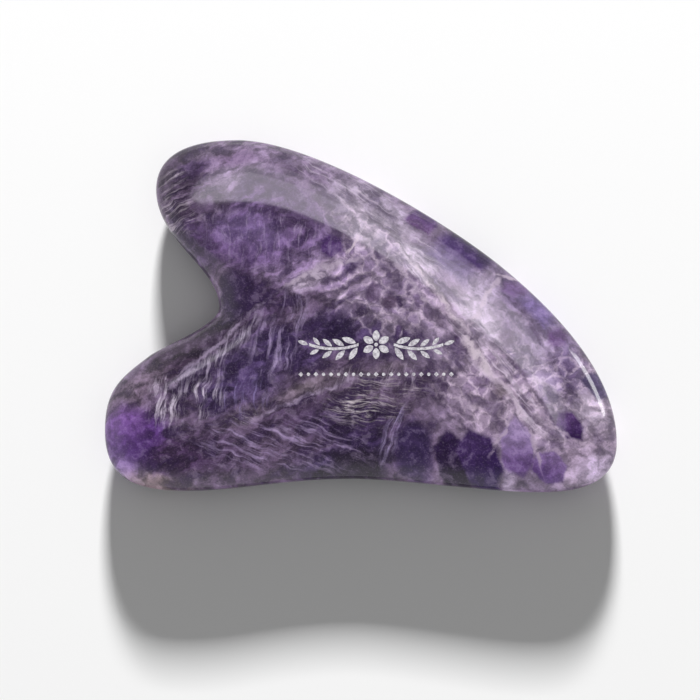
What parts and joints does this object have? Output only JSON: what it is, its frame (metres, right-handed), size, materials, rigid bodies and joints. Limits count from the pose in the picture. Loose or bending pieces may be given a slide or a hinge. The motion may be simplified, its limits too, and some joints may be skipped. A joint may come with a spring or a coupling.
{
  "type": "gua sha scraper",
  "caption": "Winged plate of polished amethyst with a jaw notch, rounded borders and a small printed ornament, for stroking the face in massage.",
  "frame": {"origin": "under the middle of the stone's outline, on the surface that its flat back rests on", "axes": "+X along the length, from the lower lobe's tip to the far end; +Y across the width, from the lower edge to the upper lobe; +Z through the thickness, out of the printed face"},
  "size_m": [0.085, 0.0584, 0.0081],
  "materials": {
    "amethyst": "polished",
    "white_ink": "satin"
  },
  "bodies": {
    "root": {"stone_plate": "amethyst", "print_stem": "white_ink", "print_leaves": "white_ink", "print_blossom": "white_ink", "print_dot_row": "white_ink"}
  },
  "joints": []
}
